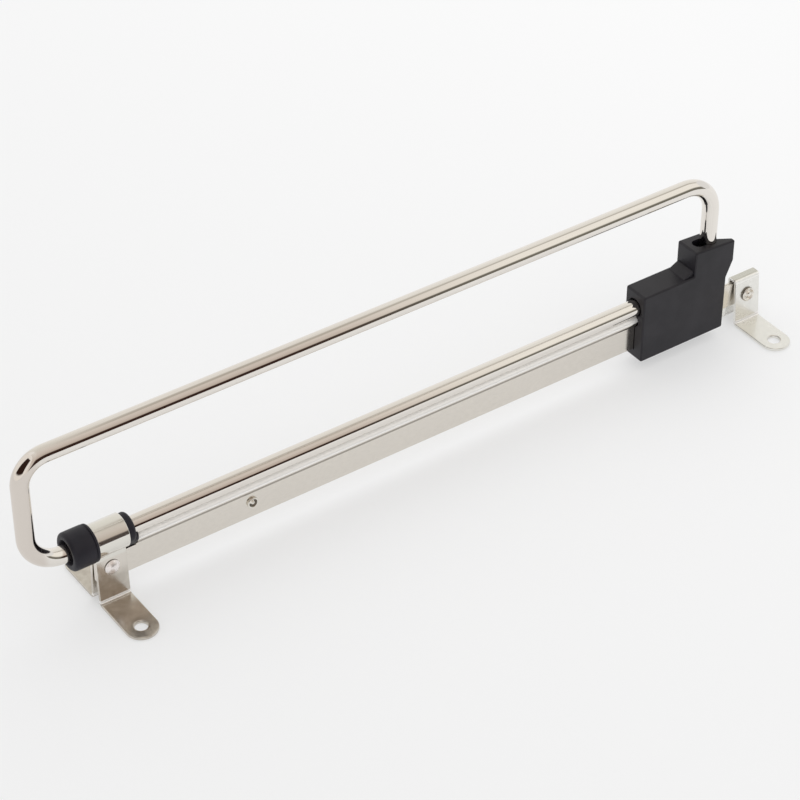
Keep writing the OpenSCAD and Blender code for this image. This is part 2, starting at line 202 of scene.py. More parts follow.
low_dark = (0.04, 0.02, 0.014)
door_bands = bands([(-12, (0.95, 0.92, 0.88)), (30, (0.70, 0.63, 0.57)), (95, (0.85, 0.82, 0.78)),
                    (112, (1.0, 0.99, 0.97)), (180, (1.0, 0.99, 0.97))])
front_bands = bands([(-12, low_dark), (20, low_dark), (27, (0.56, 0.48, 0.42)),
                     (58, (0.70, 0.63, 0.58)), (110, (0.76, 0.73, 0.68)), (150, (0.86, 0.85, 0.80)),
                     (180, (0.93, 0.91, 0.88))])
middle_bands = bands([(-12, low_dark), (17, low_dark), (25, (0.58, 0.50, 0.44)),
                      (58, (0.70, 0.63, 0.58)), (76, (0.72, 0.66, 0.60)), (86, (0.50, 0.46, 0.41)),
                      (102, (0.54, 0.50, 0.45)), (116, (0.86, 0.84, 0.80)), (180, (0.93, 0.91, 0.88))])
rear_bands = bands([(-12, (0.18, 0.17, 0.14)), (14, (0.20, 0.19, 0.16)), (28, (1.0, 0.97, 0.91)),
                    (82, (1.0, 0.98, 0.93)), (95, (0.48, 0.45, 0.40)), (108, (0.88, 0.87, 0.83)),
                    (180, (1.0, 0.99, 0.97))])
near_half = blend(door_bands, front_bands, -0.7, -0.35)
far_half = blend(middle_bands, rear_bands, 1.3, 1.8)
glow = wired(tree, "Emission", {"Color": blend(near_half, far_half, 0.85, 1.05)})
tree.links.new(glow.outputs[0], tree.nodes["Material Output"].inputs[0])
shell.data.materials.append(shell_material)

wall_steps = 5
wall_x, wall_z = np.meshgrid(np.linspace(-shell_r, shell_r, wall_steps),
                             np.linspace(0, shell_r, wall_steps), indexing="ij")
wall_points = np.stack([wall_x, np.full_like(wall_x, shell_from), wall_z], -1)
wall = new_object("front_wall", wall_points, quads(wall_steps, wall_steps))
wall_material, tree, shader = tree_of("dark_doorway")
tree.nodes.remove(shader)
place = wired(tree, "TexCoord", {})
door_soft = 0.1
door_wide = between(tree, place.outputs["Object"], 0, -0.38, 1.18, door_soft, "LINEAR")
door_high = between(tree, place.outputs["Object"], 2, 0.32, 1.88, door_soft, "LINEAR")
door = wired(tree, "Math", {0: door_wide, 1: door_high}, operation="MULTIPLY")
tone = wired(tree, "Mix", {0: door.outputs[0], 6: (1.0, 0.98, 0.95, 1), 7: (0.035, 0.018, 0.013, 1)},
             data_type="RGBA")
glow = wired(tree, "Emission", {"Color": tone.outputs[2]})
tree.links.new(glow.outputs[0], tree.nodes["Material Output"].inputs[0])
wall.data.materials.append(wall_material)
for piece in (shell, wall):
    for kind in ("camera", "diffuse", "transmission", "volume_scatter", "shadow"):
        setattr(piece, "visible_" + kind, False)

lamp_data = bpy.data.lights.new("soft_lamp", "AREA")
lamp_data.shape = "DISK"
lamp_data.size = 1.6
lamp_data.energy = 3.2
lamp = bpy.data.objects.new("soft_lamp", lamp_data)
bpy.context.scene.collection.objects.link(lamp)
lamp.location = (-0.6, 0.7, 0.9)
lamp.rotation_euler = (-lamp.location).to_track_quat("-Z", "Y").to_euler()
lamp.visible_glossy = False
lamp.visible_camera = False


# The guide rail: one strip of plated sheet, folded so that its middle makes a hollow bead
# and its two leaves lie shut. Low tongues at both ends go into the brackets.
def arc(centre, radius, start, stop, count):
    """Points at equal angles on a circle, from one angle to another, in degrees."""
    a = np.radians(np.linspace(start, stop, count))
    return np.asarray(centre) + radius * np.stack([np.cos(a), np.sin(a)], -1)


def tidy(obj):
    """Close the seams of a new piece, turn its faces outwards and shade it smooth."""
    work = bmesh.new()
    work.from_mesh(obj.data)
    bmesh.ops.remove_doubles(work, verts=work.verts, dist=0.002 * mm)
    bmesh.ops.dissolve_degenerate(work, edges=work.edges, dist=0.001 * mm)
    bmesh.ops.recalc_face_normals(work, faces=work.faces)
    for face in work.faces:
        face.smooth = True
    work.to_mesh(obj.data)
    work.free()


def bake(obj):
    """Put the result of a piece's modifiers into its own mesh, and drop them."""
    graph = bpy.context.evaluated_depsgraph_get()
    obj.data = bpy.data.meshes.new_from_object(obj.evaluated_get(graph))
    obj.modifiers.clear()


def cut(obj, cutter):
    """Take the space of a closed cutter out of a piece."""
    tidy(cutter)
    step = obj.modifiers.new("cut", "BOOLEAN")
    step.operation = "DIFFERENCE"
    step.solver = "EXACT"
    step.object = cutter
    bpy.context.view_layer.update()
    bake(obj)
    bpy.data.objects.remove(cutter)


def soften(obj, width, segments=2, angle=35):
    """Round the sharp edges of a piece, or keep them where the width is zero, then let the
    large faces settle the shading."""
    if width:
        step = obj.modifiers.new("edges", "BEVEL")
        step.width = width
        step.segments = segments
        step.limit_method = "ANGLE"
        step.angle_limit = np.radians(angle)
        step.harden_normals = False
        step.miter_outer = "MITER_ARC"
    else:
        obj.data.set_sharp_from_angle(angle=np.radians(angle))
    step = obj.modifiers.new("shading", "WEIGHTED_NORMAL")
    step.keep_sharp = True
    step.weight = 100
    bake(obj)


def prism(name, outline, start, stop, axis):
    """A closed outline carried straight along one axis, with flat ends. The outline's two
    numbers lie along the other two axes, in order."""
    count = len(outline)
    rings = np.zeros((2, count, 3))
    rings[:, :, [a for a in range(3) if a != axis]] = outline
    rings[0, :, axis], rings[1, :, axis] = start, stop
    ends = [np.arange(count), np.arange(count) + count]
    return new_object(name, rings, [*quads(2, count, True), *ends])


def two_tone(tree, pattern, dark, light):
    """A colour that goes from dark to light over the middle of a pattern's range."""
    ramp = wired(tree, "ValToRGB", {0: pattern})
    first, last = ramp.color_ramp.elements
    first.position, first.color = 0.3, (*dark, 1)
    last.position, last.color = 0.7, (*light, 1)
    return ramp.outputs[0]


def plated(name, light, dark, roughness, spread, stretch, bump, metal=1.0, zones=(), follows="Object"):
    """Bright plate: a stretched noise makes the fine lines left by drawing or rolling in
    the tint, the gloss and the relief, and a broad one makes slow changes of gloss. Each
    zone, between two places on an axis, has its own tint, gloss and share of metal."""
    material, tree, shader = tree_of(name)
    place = wired(tree, "TexCoord", {})
    stretched = wired(tree, "Mapping", {"Vector": place.outputs[follows], "Scale": stretch})
    fine = wired(tree, "TexNoise", {"Vector": stretched.outputs[0], "Scale": 1.0, "Detail": 5.0})
    broad = wired(tree, "TexNoise", {"Vector": place.outputs["Object"], "Scale": 90.0, "Detail": 2.0})
    mixed = wired(tree, "Math", {0: fine.outputs[0], 1: broad.outputs[0]}, operation="ADD")
    gloss = wired(tree, "MapRange", {"Value": mixed.outputs[0], "From Min": 0.6, "From Max": 1.4,
                                     "To Min": roughness - spread, "To Max": roughness + spread})
    colour, dullness = two_tone(tree, fine.outputs[0], dark, light), gloss.outputs[0]
    metal_varies = any(zone[-1] != metal for zone in zones)
    for axis, low, high, soft, zone_tint, zone_gloss, zone_metal in zones:
        within = between(tree, place.outputs["Object"], axis, low, high, soft)
        colour = wired(tree, "Mix", {0: within, 6: colour, 7: (*zone_tint, 1)}, data_type="RGBA").outputs[2]
        dullness = wired(tree, "Mix", {0: within, 2: dullness, 3: zone_gloss}).outputs[0]
        if metal_varies:
            metal = wired(tree, "Mix", {0: within, 2: metal, 3: zone_metal}).outputs[0]
    relief = wired(tree, "Bump", {"Strength": bump, "Distance": 0.02 * mm, "Height": fine.outputs[0]})
    feed(tree, shader, {"Metallic": metal, "Base Color": colour, "Roughness": dullness,
                        "Normal": relief.outputs[0]})
    return material


rail_low, rail_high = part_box("guide_rail")
rod_low, rod_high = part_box("hanging_rod")
bush_low, bush_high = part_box("front_bush")
sheet = 0.8 * mm
seam = 0.1 * mm
bead_r = rail_high.x
bead_z = rail_high.z - bead_r
bead_gap, bead_past = 0.2 * mm, 1.8 * mm
bead_front = bush_high.y + bead_gap
bead_rear = rod_high.y + bead_past
rail_foot = rail_low.z
leaf_x = sheet + seam / 2
tongue_top = bead_z - bead_r - 0.4 * mm
tongue_r = 1.5 * mm

fillet = 0.35 * mm
fillet_z = bead_z - np.sqrt((bead_r + fillet) ** 2 - (leaf_x + fillet) ** 2)
touch = np.degrees(np.arctan2(bead_z - fillet_z, leaf_x + fillet))
hollow_r = bead_r - sheet
slit = np.degrees(np.arcsin(seam / 2 / hollow_r))
outer = np.concatenate([[[leaf_x, rail_foot]],
                        arc((leaf_x + fillet, fillet_z), fillet, 180, 180 - touch, 8),
                        arc((0, bead_z), bead_r, -touch, 90, 30)])
inner = np.concatenate([arc((0, bead_z), hollow_r, 90, -90 + slit, 24), [[seam / 2, rail_foot]]])
flip = np.array([-1, 1])
section = np.concatenate([outer, (outer[::-1] * flip)[1:], inner[::-1] * flip, inner[1:]])
rail = prism("rail", section, rail_low.y, rail_high.y, 1)
tidy(rail)
room_above = 3 * mm
for end, bead_end in ((rail_low.y, bead_front), (rail_high.y, bead_rear)):
    inward = np.sign(bead_end - end)
    over = end - inward * room_above
    top = rail_high.z + tongue_r
    top_corner = np.array([[over, top], [bead_end, top], [bead_end, tongue_top],
                           *arc((end + inward * tongue_r, tongue_top - tongue_r), tongue_r,
                                90, 90 + inward * 90, 8),
                           [over, tongue_top - tongue_r]])
    cut(rail, prism("over_tongue", top_corner, -2 * bead_r, 2 * bead_r, 0))
    low_corner = np.array([*arc((end + inward * tongue_r, rail_foot + tongue_r), tongue_r,
                                90 + inward * 90, 270, 8),
                           [over, rail_foot - tongue_r], [over, rail_foot + tongue_r]])
    cut(rail, prism("under_tongue", low_corner, -2 * bead_r, 2 * bead_r, 0))
soften(rail, 0.12 * mm)
# Painted shade: a dark band along the crease under the bead, where the bead meets the leaves.
crease_painted_shade = (2, bead_z - 1.9 * mm, bead_z - 0.3 * mm, 0.4 * mm, (0.37, 0.34, 0.30), 0.25, 1.0)
# Painted highlight: the bead's top is paler, rougher and less metal, so that it reads bright.
bead_painted_highlight = (2, bead_z + 0.5 * mm, bead_z + 9 * mm, 0.4 * mm, (1.0, 0.985, 0.955), 0.25, 0.2)
rail.data.materials.append(plated("rolled_sheet", (0.78, 0.74, 0.68), (0.745, 0.705, 0.645), 0.17, 0.03,
                                  (1500, 500, 1500), 0.08, zones=[crease_painted_shade, bead_painted_highlight]))
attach(rail, "fixed_rail")
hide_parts("guide_rail")


# The two brackets: strips of plated steel bent up from the flat. The front one goes up
# into a neck and a round collar, the rear one is folded over as a square saddle.
def strip_ring(half_t, edge):
    """The section of a strip, as how far each point lies in from the strip's outline, its
    side (-1 to 1 across) and its height: round edges, and a few points on each flat."""
    edge_steps, flat_steps, flat_share = 5, 7, 0.88
    turn = np.radians(np.linspace(0, 90, edge_steps))
    inset = edge - edge * np.cos(turn)
    height = half_t - edge + edge * np.sin(turn)
    flat = flat_share * np.linspace(1, -1, flat_steps + 2)[1:-1]
    top_side = np.concatenate([np.ones(edge_steps), flat, -np.ones(edge_steps)])
    top_inset = np.concatenate([inset, np.full(flat_steps, edge), inset[::-1]])
    top_height = np.concatenate([height, np.full(flat_steps, half_t), height[::-1]])
    return (np.concatenate([top_inset, top_inset[::-1]]), np.concatenate([top_side, top_side[::-1]]),
            np.concatenate([top_height, -top_height[::-1]]))


def bent_strip(name, stations, y, half_w, half_t, edge):
    """A strip carried along its middle line. Each station holds a point of the line in X
    and Z, its outward direction, its mitre, and how far its tip has turned in: past the
    start of a round tip the outline closes on a half circle. In a bend tighter than the
    strip is thick, the points that would pass the bend's middle lie on the mitre."""
    inset, side, height = strip_ring(half_t, edge)
    point, out, mitre, turned = stations
    across = (half_w - inset) * np.cos(turned)[:, None] * side
    ahead = (half_w - inset) * np.sin(turned)[:, None]
    x = point[:, :1] + out[:, :1] * height + np.sign(point[:, :1]) * ahead
    z = point[:, 1:] + out[:, 1:] * height
    middle_x, middle_z, radius, slope = (mitre[:, k:k + 1] for k in range(4))
    past = (radius > 0) & (height[None, :] < -radius)
    x = np.where(past, middle_x + slope * (radius + height), x)
    z = np.where(past, middle_z + (radius + height), z)
    points = np.stack([x, y + across, z], -1)
    return new_object(name, points, quads(len(point), len(inset), True))


def strip_line(arcs, tip_centre, foot_z):
    """A strip's middle line: the near half, from its top to its tip, and its mirror image.
    Each arc is a centre, a radius, the two angles of its outward side in degrees, whether
    it bends outwards (1) or inwards (-1), its points, and the lean of its leg where it is
    mitred. An arc of no radius is a plain point. Straight runs join the arcs, with closer
    points beside them."""
    tip_steps = 16
    point, out, mitre = [], [], []
    for centre, radius, start, stop, bends, count, lean in arcs:
        a = np.radians(np.linspace(start, stop, count))
        direction = np.stack([np.cos(a), np.sin(a)], -1)
        if point:
            last, first = point[-1][-1], np.asarray(centre) + radius * direction[0]
            share = np.array([0.06, 0.5, 0.94])[:, None]
            point.append(last + (first - last) * share)
            out.append(np.repeat(out[-1][-1:], 3, 0))
            mitre.append(np.zeros((3, 4)))
        point.append(np.asarray(centre) + radius * direction)
        out.append(bends * direction)
        slope = (1 - np.sin(lean)) / np.cos(lean) if lean is not None else 0.0
        mitre.append(np.tile([*centre, radius if lean is not None else 0.0, slope], (count, 1)))
    last = point[-1][-1]
    share = np.array([0.06, 0.5, *np.ones(1 + tip_steps)])[:, None]
    point.append(last + (np.array([tip_centre, foot_z]) - last) * share)
    out.append(np.tile([0.0, 1.0], (len(share), 1)))
    mitre.append(np.zeros((len(share), 4)))
    point, out, mitre = map(np.concatenate, (point, out, mitre))
    turned = np.concatenate([np.zeros(len(point) - tip_steps),
                             np.radians(np.linspace(0, 90, tip_steps + 1))[1:]])
    mirror = np.array([-1.0, 1.0])
    return (np.concatenate([point[::-1] * mirror, point[1:]]),
            np.concatenate([out[::-1] * mirror, out[1:]]),
            np.concatenate([mitre[::-1] * [-1, 1, 1, -1], mitre[1:]]),
            np.concatenate([turned[::-1], turned[1:]]))


def lathe(profile, count=64):
    """A profile of (radius, height) pairs turned once about its own axis; the first and
    last points may lie on the axis."""
    a = np.linspace(0, 2 * np.pi, count, endpoint=False)
    profile = np.asarray(profile)
    points = np.stack([profile[:, :1] * np.cos(a), profile[:, :1] * np.sin(a),
                       np.repeat(profile[:, 1:], count, 1)], -1)
    return points, quads(len(profile), count, True)


strip_t = 1.2 * mm
half_w = 6.0 * mm
leg_edge = 0.3 * mm
front_low, front_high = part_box("front_bracket")
rear_low, rear_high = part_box("rear_bracket")
front_y = (front_low.y + front_high.y) / 2
rear_y = (rear_low.y + rear_high.y) / 2
tip_centre = front_high.x - half_w
foot_r = 0.8 * mm + strip_t / 2
foot_z = strip_t / 2
screw_x = 20.0 * mm
screw_r, sink = 2.4 * mm, 0.5 * mm
rod_r = rod_high.x
rod_z = rod_low.z + rod_r
collar_r = front_high.z - rod_z - strip_t / 2
neck_r = 1.5 * mm + strip_t / 2
leg_gap = 0.05 * mm
leg_x = leaf_x + leg_gap + strip_t / 2
saddle_half, saddle_fold = 2.3 * mm, 1.4 * mm
front_degrees, rear_degrees = 3, 5
front_lean, rear_lean = np.radians(front_degrees), np.radians(rear_degrees)


def foot_arc(start, lean):
    """The bend at a foot: its middle lies one radius outside the leaning leg and one
    radius above the foot's middle line."""
    leg, out = np.array([np.sin(lean), -np.cos(lean)]), np.array([np.cos(lean), np.sin(lean)])
    run = (start[1] + foot_r * np.sin(lean) - foot_z - foot_r) / np.cos(lean)
    centre = start + run * leg + foot_r * out
    return (centre, foot_r, 180 + np.degrees(lean), 270, -1, 9, None)


def screw_hole(bracket, x, y):
    """Open a countersunk hole with a pressed, rounded rim in a foot."""
    profile = [[0, -mm], [screw_r, -mm], *arc((screw_r + sink, strip_t - sink), sink, 180, 100, 7),
               [screw_r + sink, strip_t + 0.02 * mm], [screw_r + sink, strip_t + mm], [0, strip_t + mm]]
    points, faces = lathe(profile, 48)
    cut(bracket, new_object("hole", points + np.array([x, y, 0]), faces))


neck_x = leg_x + neck_r * np.cos(front_lean)
neck = np.array([neck_x, rod_z - np.sqrt((collar_r + neck_r) ** 2 - neck_x ** 2)])
neck_turn = np.degrees(np.arctan2(rod_z - neck[1], neck_x))
front_leg = neck - neck_r * np.array([np.cos(front_lean), np.sin(front_lean)])
front_line = strip_line([((0, rod_z), collar_r, 90, -neck_turn, 1, 40, None),
                         (neck, neck_r, 180 - neck_turn, 180 + front_degrees, -1, 10, None),
                         foot_arc(front_leg, front_lean)], tip_centre, foot_z)

saddle_z = rear_high.z
fold_r = saddle_fold - strip_t / 2
fold = np.array([saddle_half - saddle_fold, saddle_z - saddle_fold])
rear_leg = fold + fold_r * np.array([np.cos(rear_lean), np.sin(rear_lean)])
rear_line = strip_line([((0, saddle_z - strip_t / 2), 0, 90, 90, 1, 1, None),
                        (fold, fold_r, 90, rear_degrees, 1, 9, rear_lean),
                        foot_arc(rear_leg, rear_lean)], tip_centre, foot_z)

strip_grain = (500, 500, 500)
# Painted highlight: the bends up from the feet are paler, rougher and partly plain, so that they read as a
# bright line.
foot_fold_highlight = (2, strip_t + 0.3 * mm, 2.4 * mm, 0.2 * mm, (0.96, 0.94, 0.91), 0.35, 0.3)
# Painted light: the front strip's collar, and its leg towards the top, are painted lighter and glossier
# than the rest of the leg.
collar_painted_light = (2, rod_z - 8 * mm, rod_z + 8 * mm, 0.5 * mm, (0.79, 0.77, 0.715), 0.075, 0.93)
neck_painted_light = (2, 15 * mm, rod_z - 8 * mm, 5 * mm, (0.74, 0.70, 0.64), 0.16, 1.0)
# Painted light: the front strip's plating is painted darker than the rear strip's, a shaded and a lit copy
# of one plating.
shaded_front_steel = plated("shaded_front_plating", (0.64, 0.60, 0.54), (0.54, 0.50, 0.445), 0.22, 0.05, strip_grain,
                     0.10, zones=[foot_fold_highlight, neck_painted_light, collar_painted_light])
# Painted light on the saddle: its fold is painted pale as a highlight, and its top face painted darker as
# shade.
saddle_fold_highlight = (2, saddle_z - 1.5 * mm, saddle_z - 0.5 * mm, 0.3 * mm, (0.96, 0.95, 0.91), 0.35, 0.3)
saddle_top_shade = (2, saddle_z - 0.05 * mm, saddle_z + mm, 0.1 * mm, (0.62, 0.61, 0.555), 0.25, 1.0)
lit_rear_steel = plated("lit_rear_plating", (0.86, 0.85, 0.81), (0.81, 0.80, 0.76), 0.25, 0.05, strip_grain,
                    0.10, 0.93, [foot_fold_highlight, saddle_fold_highlight, saddle_top_shade])
for name, node, line, y, steel in (
        ("front_bracket_strip", "front_bracket", front_line, front_y, shaded_front_steel),
        ("rear_bracket_strip", "rear_bracket", rear_line, rear_y, lit_rear_steel)):
    strip = bent_strip(name, line, y, half_w, strip_t / 2, leg_edge)
    tidy(strip)
    for side in (-1, 1):
        screw_hole(strip, side * screw_x, y)
    soften(strip, 0, angle=40)
    strip.data.materials.append(steel)
    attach(strip, "fixed_rail")
    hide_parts(node)


# The bush: black plastic, pushed into the collar from the front. A thick round head with
# a flared mouth stands ahead of the collar, a flange with a lobe behind it.
def plastic(name, light, dark, roughness, shine):
    """Moulded plastic: a fine speckle in the gloss and the relief, as an eroded mould
    leaves it, and slow broad changes of tint as from handling."""
    material, tree, shader = tree_of(name)
    place = wired(tree, "TexCoord", {}).outputs["Object"]
    speckle = wired(tree, "TexNoise", {"Vector": place, "Scale": 2600.0, "Detail": 3.0}).outputs[0]
    broad = wired(tree, "TexNoise", {"Vector": place, "Scale": 110.0, "Detail": 3.0}).outputs[0]
    gloss = wired(tree, "MapRange", {"Value": speckle, "To Min": roughness - 0.08,
                                     "To Max": roughness + 0.08})
    relief = wired(tree, "Bump", {"Strength": 0.35, "Distance": 0.03 * mm, "Height": speckle})
    feed(tree, shader, {"Base Color": two_tone(tree, broad, dark, light), "Roughness": gloss.outputs[0],
                        "Specular IOR Level": shine, "Normal": relief.outputs[0]})
    return material


def on_rod_axis(profile, y, z, count=72):
    """A lathe turned so that its axis runs along Y, from a place on the rod's line."""
    points, faces = lathe(profile, count)
    return points[..., [0, 2, 1]] + np.array([0, y, z]), faces


bore_r = rod_r + 0.08 * mm
sleeve_r = bore_r + 1.6 * mm
head_r = bush_high.x
head_round = 1.3 * mm
head_front = bush_low.y
collar_gap = 0.05 * mm
head_len = front_low.y - collar_gap - head_front
mouth, mouth_depth, lip = 1.3 * mm, 2.4 * mm, 0.35 * mm
throat = 0.2 * mm
groove = head_len - 1.0 * mm
groove_dips = np.array([(0, -0.5), (0.25, -0.35), (0.45, 0), (0.1, 0.15)]) * mm
head_back, back_round = 0.1 * mm, 0.4 * mm
collar_back = front_high.y + collar_gap
flange_r = sleeve_r + 0.6 * mm
flange_at = collar_back - head_front
flange_end = flange_at + 3.0 * mm
bore_edge = 0.3 * mm
profile = np.concatenate([
    [[bore_r, flange_end - bore_edge]],
    arc((bore_r + throat, mouth_depth + throat), throat, 180, 270, 4),
    [[bore_r + mouth / 2, mouth_depth], [bore_r + mouth - 0.02 * mm, lip]],
    arc((bore_r + mouth + lip, lip), lip, 180, 270, 6),
    arc((head_r - head_round, head_round), head_round, -90, 0, 12),
    np.array([head_r, groove]) + groove_dips * [-1, 1],
    arc((head_r - head_back - back_round, head_len - back_round), back_round, 0, 90, 6),
    [[sleeve_r, head_len], [sleeve_r, flange_at], [flange_r - 0.1 * mm, flange_at]],
    arc((flange_r - head_round, flange_end - head_round), head_round, 0, 90, 10),
    [[bore_r + bore_edge, flange_end], [bore_r, flange_end - bore_edge]]])
points, faces = on_rod_axis(profile, head_front, rod_z)
bush = new_object("bush", points, faces)
tidy(bush)
soften(bush, 0.05 * mm, 1, 60)
bush_plastic = plastic("bush_moulding", (0.020, 0.018, 0.025), (0.012, 0.011, 0.017), 0.48, 0.24)
bush.data.materials.append(bush_plastic)
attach(bush, "fixed_rail")
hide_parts("front_bush")

lobe_r, lobe_z = 3.6 * mm, (bead_z + rod_z) / 2
point_r, point_z = 0.8 * mm, tongue_top + 0.95 * mm
taper = np.degrees(np.arcsin((lobe_r - point_r) / (lobe_z - point_z)))
drop = np.concatenate([arc((0, lobe_z), lobe_r, -taper, 180 + taper, 48),
                       arc((0, point_z), point_r, 180 + taper, 360 - taper, 10)])
lobe = prism("bush_lobe", drop, collar_back, bush_high.y, 1)
tidy(lobe)
points, faces = on_rod_axis([[0, -mm], [bore_r, -mm], [bore_r, 8 * mm], [0, 8 * mm]], collar_back, rod_z)
cut(lobe, new_object("bore", points, faces))
soften(lobe, 0.7 * mm, 5, 60)
lobe.data.materials.append(bush_plastic)
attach(lobe, "fixed_rail")


# The rivets: a domed one at the front and a cupped one at the rear close the legs on the
# rail's tongues. A punched one stands proud of the bare rail and stops the block.
shank_r = 1.5 * mm
head_edge_r = 2.9 * mm
rivet_grain = (1200, 1200, 1200)
dome_steel = plated("domed_rivet", (0.93, 0.88, 0.86), (0.88, 0.83, 0.81), 0.32, 0.05,
                    rivet_grain, 0.15, 0.8)
punched_steel = plated("punched_rivet", (0.82, 0.79, 0.73), (0.77, 0.74, 0.68), 0.14, 0.04,
                       rivet_grain, 0.15)
# Painted shade: a dark plate on the rivet heads' rims and recesses, where shade falls.
rivet_shade_steel = plated("rivet_painted_shade", (0.20, 0.175, 0.145), (0.13, 0.115, 0.095), 0.25, 0.05,
                    rivet_grain, 0.15)


def shank(depth, edge_r, chamfer, rise):
    """The start of a head's profile: up the shank from inside the part, then out under the
    head to its chamfered edge."""
    return [[0, -depth], [shank_r, -depth], [shank_r, 0], [edge_r - chamfer, 0], [edge_r, rise]]


def rivet(name, node, y, z, seat_x, lean, profile, steel, shade_rings):
    """Two turned heads, back to back, each with its axis square to its leaning leg. The rings of the
    profile from the first number to the second get a dark plate: painted shade on the rim or in the recess
    of each head."""
    count = 48
    points, faces = lathe(profile, count)
    heads = []
    for side in (1, -1):
        swing = Matrix.Rotation(side * (np.pi / 2 - lean), 3, "Y")
        heads.append(points @ np.array(swing).T + np.array([side * seat_x, y, z]))
    both = np.concatenate([head.reshape(-1, 3) for head in heads])
    piece = new_object(name, both, np.concatenate([faces, faces + points[..., 0].size]))
    ring = np.arange(len(faces)) // count
    is_shaded = ((ring >= shade_rings[0]) & (ring < shade_rings[1])).astype(np.int32)
    piece.data.materials.append(steel)
    piece.data.materials.append(rivet_shade_steel)
    piece.data.polygons.foreach_set("material_index", np.tile(is_shaded, 2))
    tidy(piece)
    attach(piece, "fixed_rail")
    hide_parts(node)


def leg_face(start, lean, z):
    """How far out a leaning leg's outer face lies at a height."""
    face = start + strip_t / 2 * np.array([np.cos(lean), np.sin(lean)])
    return face[0] + (face[1] - z) * np.tan(lean)


def middle_of(node):
    """The height of the middle of a node's box."""
    low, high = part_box(node)
    return (low.z + high.z) / 2


dome_h, rim = 1.6 * mm, 0.3 * mm
crown_r, crown_h = head_edge_r - 0.12 * mm, dome_h - rim
ball = (crown_r ** 2 + crown_h ** 2) / (2 * crown_h)
reach = np.degrees(np.arcsin(crown_r / ball))
dome = [*shank(1.5 * mm, head_edge_r, 0.08 * mm, 0.06 * mm), [head_edge_r, rim - 0.03 * mm],
        *arc((0, dome_h - ball), ball, 90 - reach, 90, 16)]
front_rivet_z = middle_of("front_rivet")
rivet("rivet_front", "front_rivet", front_y, front_rivet_z, leg_face(front_leg, front_lean, front_rivet_z),
      front_lean, dome, dome_steel, (3, 5))

bulge = 0.45 * mm
cup_depths = np.array([(1.75, 0.25), (1.5, 0.3), (1.3, 0.8), (0.9, 1.1), (0.4, 1.2), (0, 1.2)]) * mm
cupped = [*shank(1.5 * mm, head_edge_r, 0.08 * mm, 0.06 * mm),
          *arc((head_edge_r - bulge, 0.5 * mm), bulge, 0, 150, 8), *cup_depths]
rear_rivet_z = middle_of("rear_rivet")
rivet("rivet_rear", "rear_rivet", rear_y, rear_rivet_z, leg_face(rear_leg, rear_lean, rear_rivet_z),
      rear_lean, cupped, punched_steel, (4, 6))

stop_low, stop_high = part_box("stop_rivet")
stop_z = middle_of("stop_rivet")
stop_r, stop_t = stop_high.z - stop_z, stop_high.x - leaf_x
stop_edge = 0.35 * mm
punch_depths = np.array([(1.6, 0.12), (1.35, 0.75), (1.0, 0.8), (0.75, 0.35), (0.45, 0.15), (0, 0.1)]) * mm
punched = [*shank(0.5 * mm, stop_r, 0.1 * mm, 0.1 * mm),
           *arc((stop_r - stop_edge, stop_t - stop_edge), stop_edge, 0, 110, 8),
           *(np.array([0, stop_t]) + punch_depths * [1, -1])]
rivet("rivet_stop", "stop_rivet", (stop_low.y + stop_high.y) / 2, stop_z, leaf_x, 0.0, punched,
      punched_steel, (13, 15))


# The rod loop: one round steel rod, cold bent at three places and nickel plated. Its lower
# run slides through the bush, and both of its cut ends sit in the block.
top_bend, low_bend, rear_bend = 10.0 * mm, 13.5 * mm, 14.0 * mm
loop_front, loop_rear = rod_low.y, rod_high.y
top_z = rod_high.z - rod_r
front_line_y, rear_line_y = loop_front + rod_r, loop_rear - rod_r
socket_end = loop_rear - 0.5 * mm
post_end = rod_z + rod_r + 2.3 * mm
run_steps, bend_steps, around_steps = 60, 33, 48
cut_round = 0.82


def straight(start, stop, count):
    """Points at equal steps from one place to another, without the last."""
    share = np.linspace(0, 1, count, endpoint=False)[:, None]
    return np.asarray(start) + (np.asarray(stop) - np.asarray(start)) * share


route = np.concatenate([
    straight((socket_end, rod_z), (front_line_y + low_bend, rod_z), run_steps),
    arc((front_line_y + low_bend, rod_z + low_bend), low_bend, 270, 180, bend_steps),
    straight((front_line_y, rod_z + low_bend), (front_line_y, top_z - top_bend), 8)[1:],
    arc((front_line_y + top_bend, top_z - top_bend), top_bend, 180, 90, bend_steps),
    straight((front_line_y + top_bend, top_z), (rear_line_y - rear_bend, top_z), run_steps)[1:],
    arc((rear_line_y - rear_bend, top_z - rear_bend), rear_bend, 90, 0, bend_steps),
    straight((rear_line_y, top_z - rear_bend), (rear_line_y, post_end), 6)[1:],
    [[rear_line_y, post_end]]])
tangent = np.gradient(route, axis=0)
tangent /= np.linalg.norm(tangent, axis=1)[:, None]
tangent[0], tangent[-1] = (-1, 0), (0, -1)
inside = np.stack([tangent[:, 1], -tangent[:, 0]], -1)
around = np.linspace(0, 2 * np.pi, around_steps, endpoint=False)
body = np.stack([rod_r * np.tile(np.cos(around), (len(route), 1)),
                 route[:, :1] + inside[:, :1] * rod_r * np.sin(around),
                 route[:, 1:] + inside[:, 1:] * rod_r * np.sin(around)], -1)
middle = body.mean(1, keepdims=True)
first_end = [middle[:1] + (body[:1] - middle[:1]) * share for share in (0.0, cut_round)]
last_end = [middle[-1:] + (body[-1:] - middle[-1:]) * share for share in (cut_round, 0.0)]
points = np.concatenate([*first_end, body, *last_end])
faces = quads(len(points), around_steps, True)
rod = new_object("rod_loop", points, faces)
length = np.concatenate([[0], np.cumsum(np.linalg.norm(np.diff(route, axis=0), axis=1))])
length = np.concatenate([[0, 0], length, [length[-1]] * 2])
girth = np.abs(around - np.pi) * rod_r
uv_map(rod, np.stack(np.broadcast_arrays(length[:, None], girth[None, :]), -1), faces)
tidy(rod)
